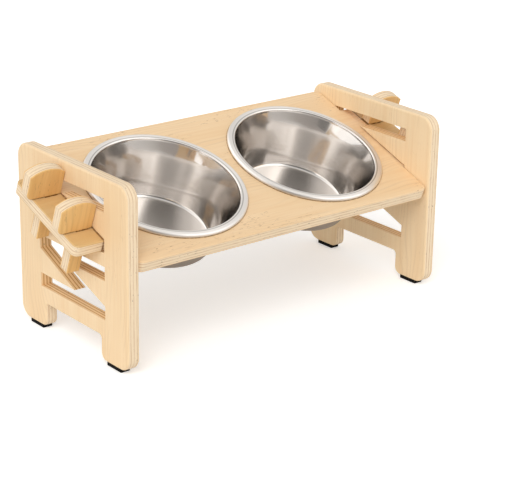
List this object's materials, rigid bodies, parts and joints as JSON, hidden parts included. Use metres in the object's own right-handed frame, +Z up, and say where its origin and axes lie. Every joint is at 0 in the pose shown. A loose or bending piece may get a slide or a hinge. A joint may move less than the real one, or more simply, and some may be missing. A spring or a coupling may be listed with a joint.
{
  "type": "elevated pet bowl stand",
  "caption": "Tilted plywood board with hanging steel bowls, carried by its end tongues in slotted side panels and locked by wooden keys.",
  "frame": {"origin": "on the floor, under the middle of the stand: midway between the side panels, and midway between their front and rear edges", "axes": "+X to the right along the board, +Y to the back (the high side of the tilted board), +Z up"},
  "size_m": [0.3736, 0.148, 0.1483],
  "materials": {
    "panel_plywood": "satin clear-coated pale plywood, vertical face grain",
    "board_plywood": "satin clear-coated pale plywood, face grain along the length",
    "key_plywood": "satin clear-coated plywood",
    "stainless_steel": "satin spun stainless steel",
    "black_rubber": "matt black rubber"
  },
  "bodies": {
    "stand": {"left_side_panel": "panel_plywood", "right_side_panel": "panel_plywood", "shelf_board": "board_plywood", "left_front_foot": "black_rubber", "left_rear_foot": "black_rubber", "right_front_foot": "black_rubber", "right_rear_foot": "black_rubber"},
    "left_bowl": {"left_bowl": "stainless_steel"},
    "right_bowl": {"right_bowl": "stainless_steel"},
    "left_front_key": {"left_front_key": "key_plywood"},
    "left_rear_key": {"left_rear_key": "key_plywood"},
    "right_front_key": {"right_front_key": "key_plywood"},
    "right_rear_key": {"right_rear_key": "key_plywood"}
  },
  "joints": [
    {"name": "left_bowl_lift", "type": "slide", "parent": "stand", "child": "left_bowl", "axis": [0, -0.3485, 0.9373], "range_m": [0, 0.08]},
    {"name": "right_bowl_lift", "type": "slide", "parent": "stand", "child": "right_bowl", "axis": [0, -0.3485, 0.9373], "range_m": [0, 0.08]},
    {"name": "left_front_key_lift", "type": "slide", "parent": "stand", "child": "left_front_key", "axis": [0, -0.3485, 0.9373], "range_m": [0, 0.06]},
    {"name": "left_rear_key_lift", "type": "slide", "parent": "stand", "child": "left_rear_key", "axis": [0, -0.3485, 0.9373], "range_m": [0, 0.06]},
    {"name": "right_front_key_lift", "type": "slide", "parent": "stand", "child": "right_front_key", "axis": [0, -0.3485, 0.9373], "range_m": [0, 0.06]},
    {"name": "right_rear_key_lift", "type": "slide", "parent": "stand", "child": "right_rear_key", "axis": [0, -0.3485, 0.9373], "range_m": [0, 0.06]}
  ]
}
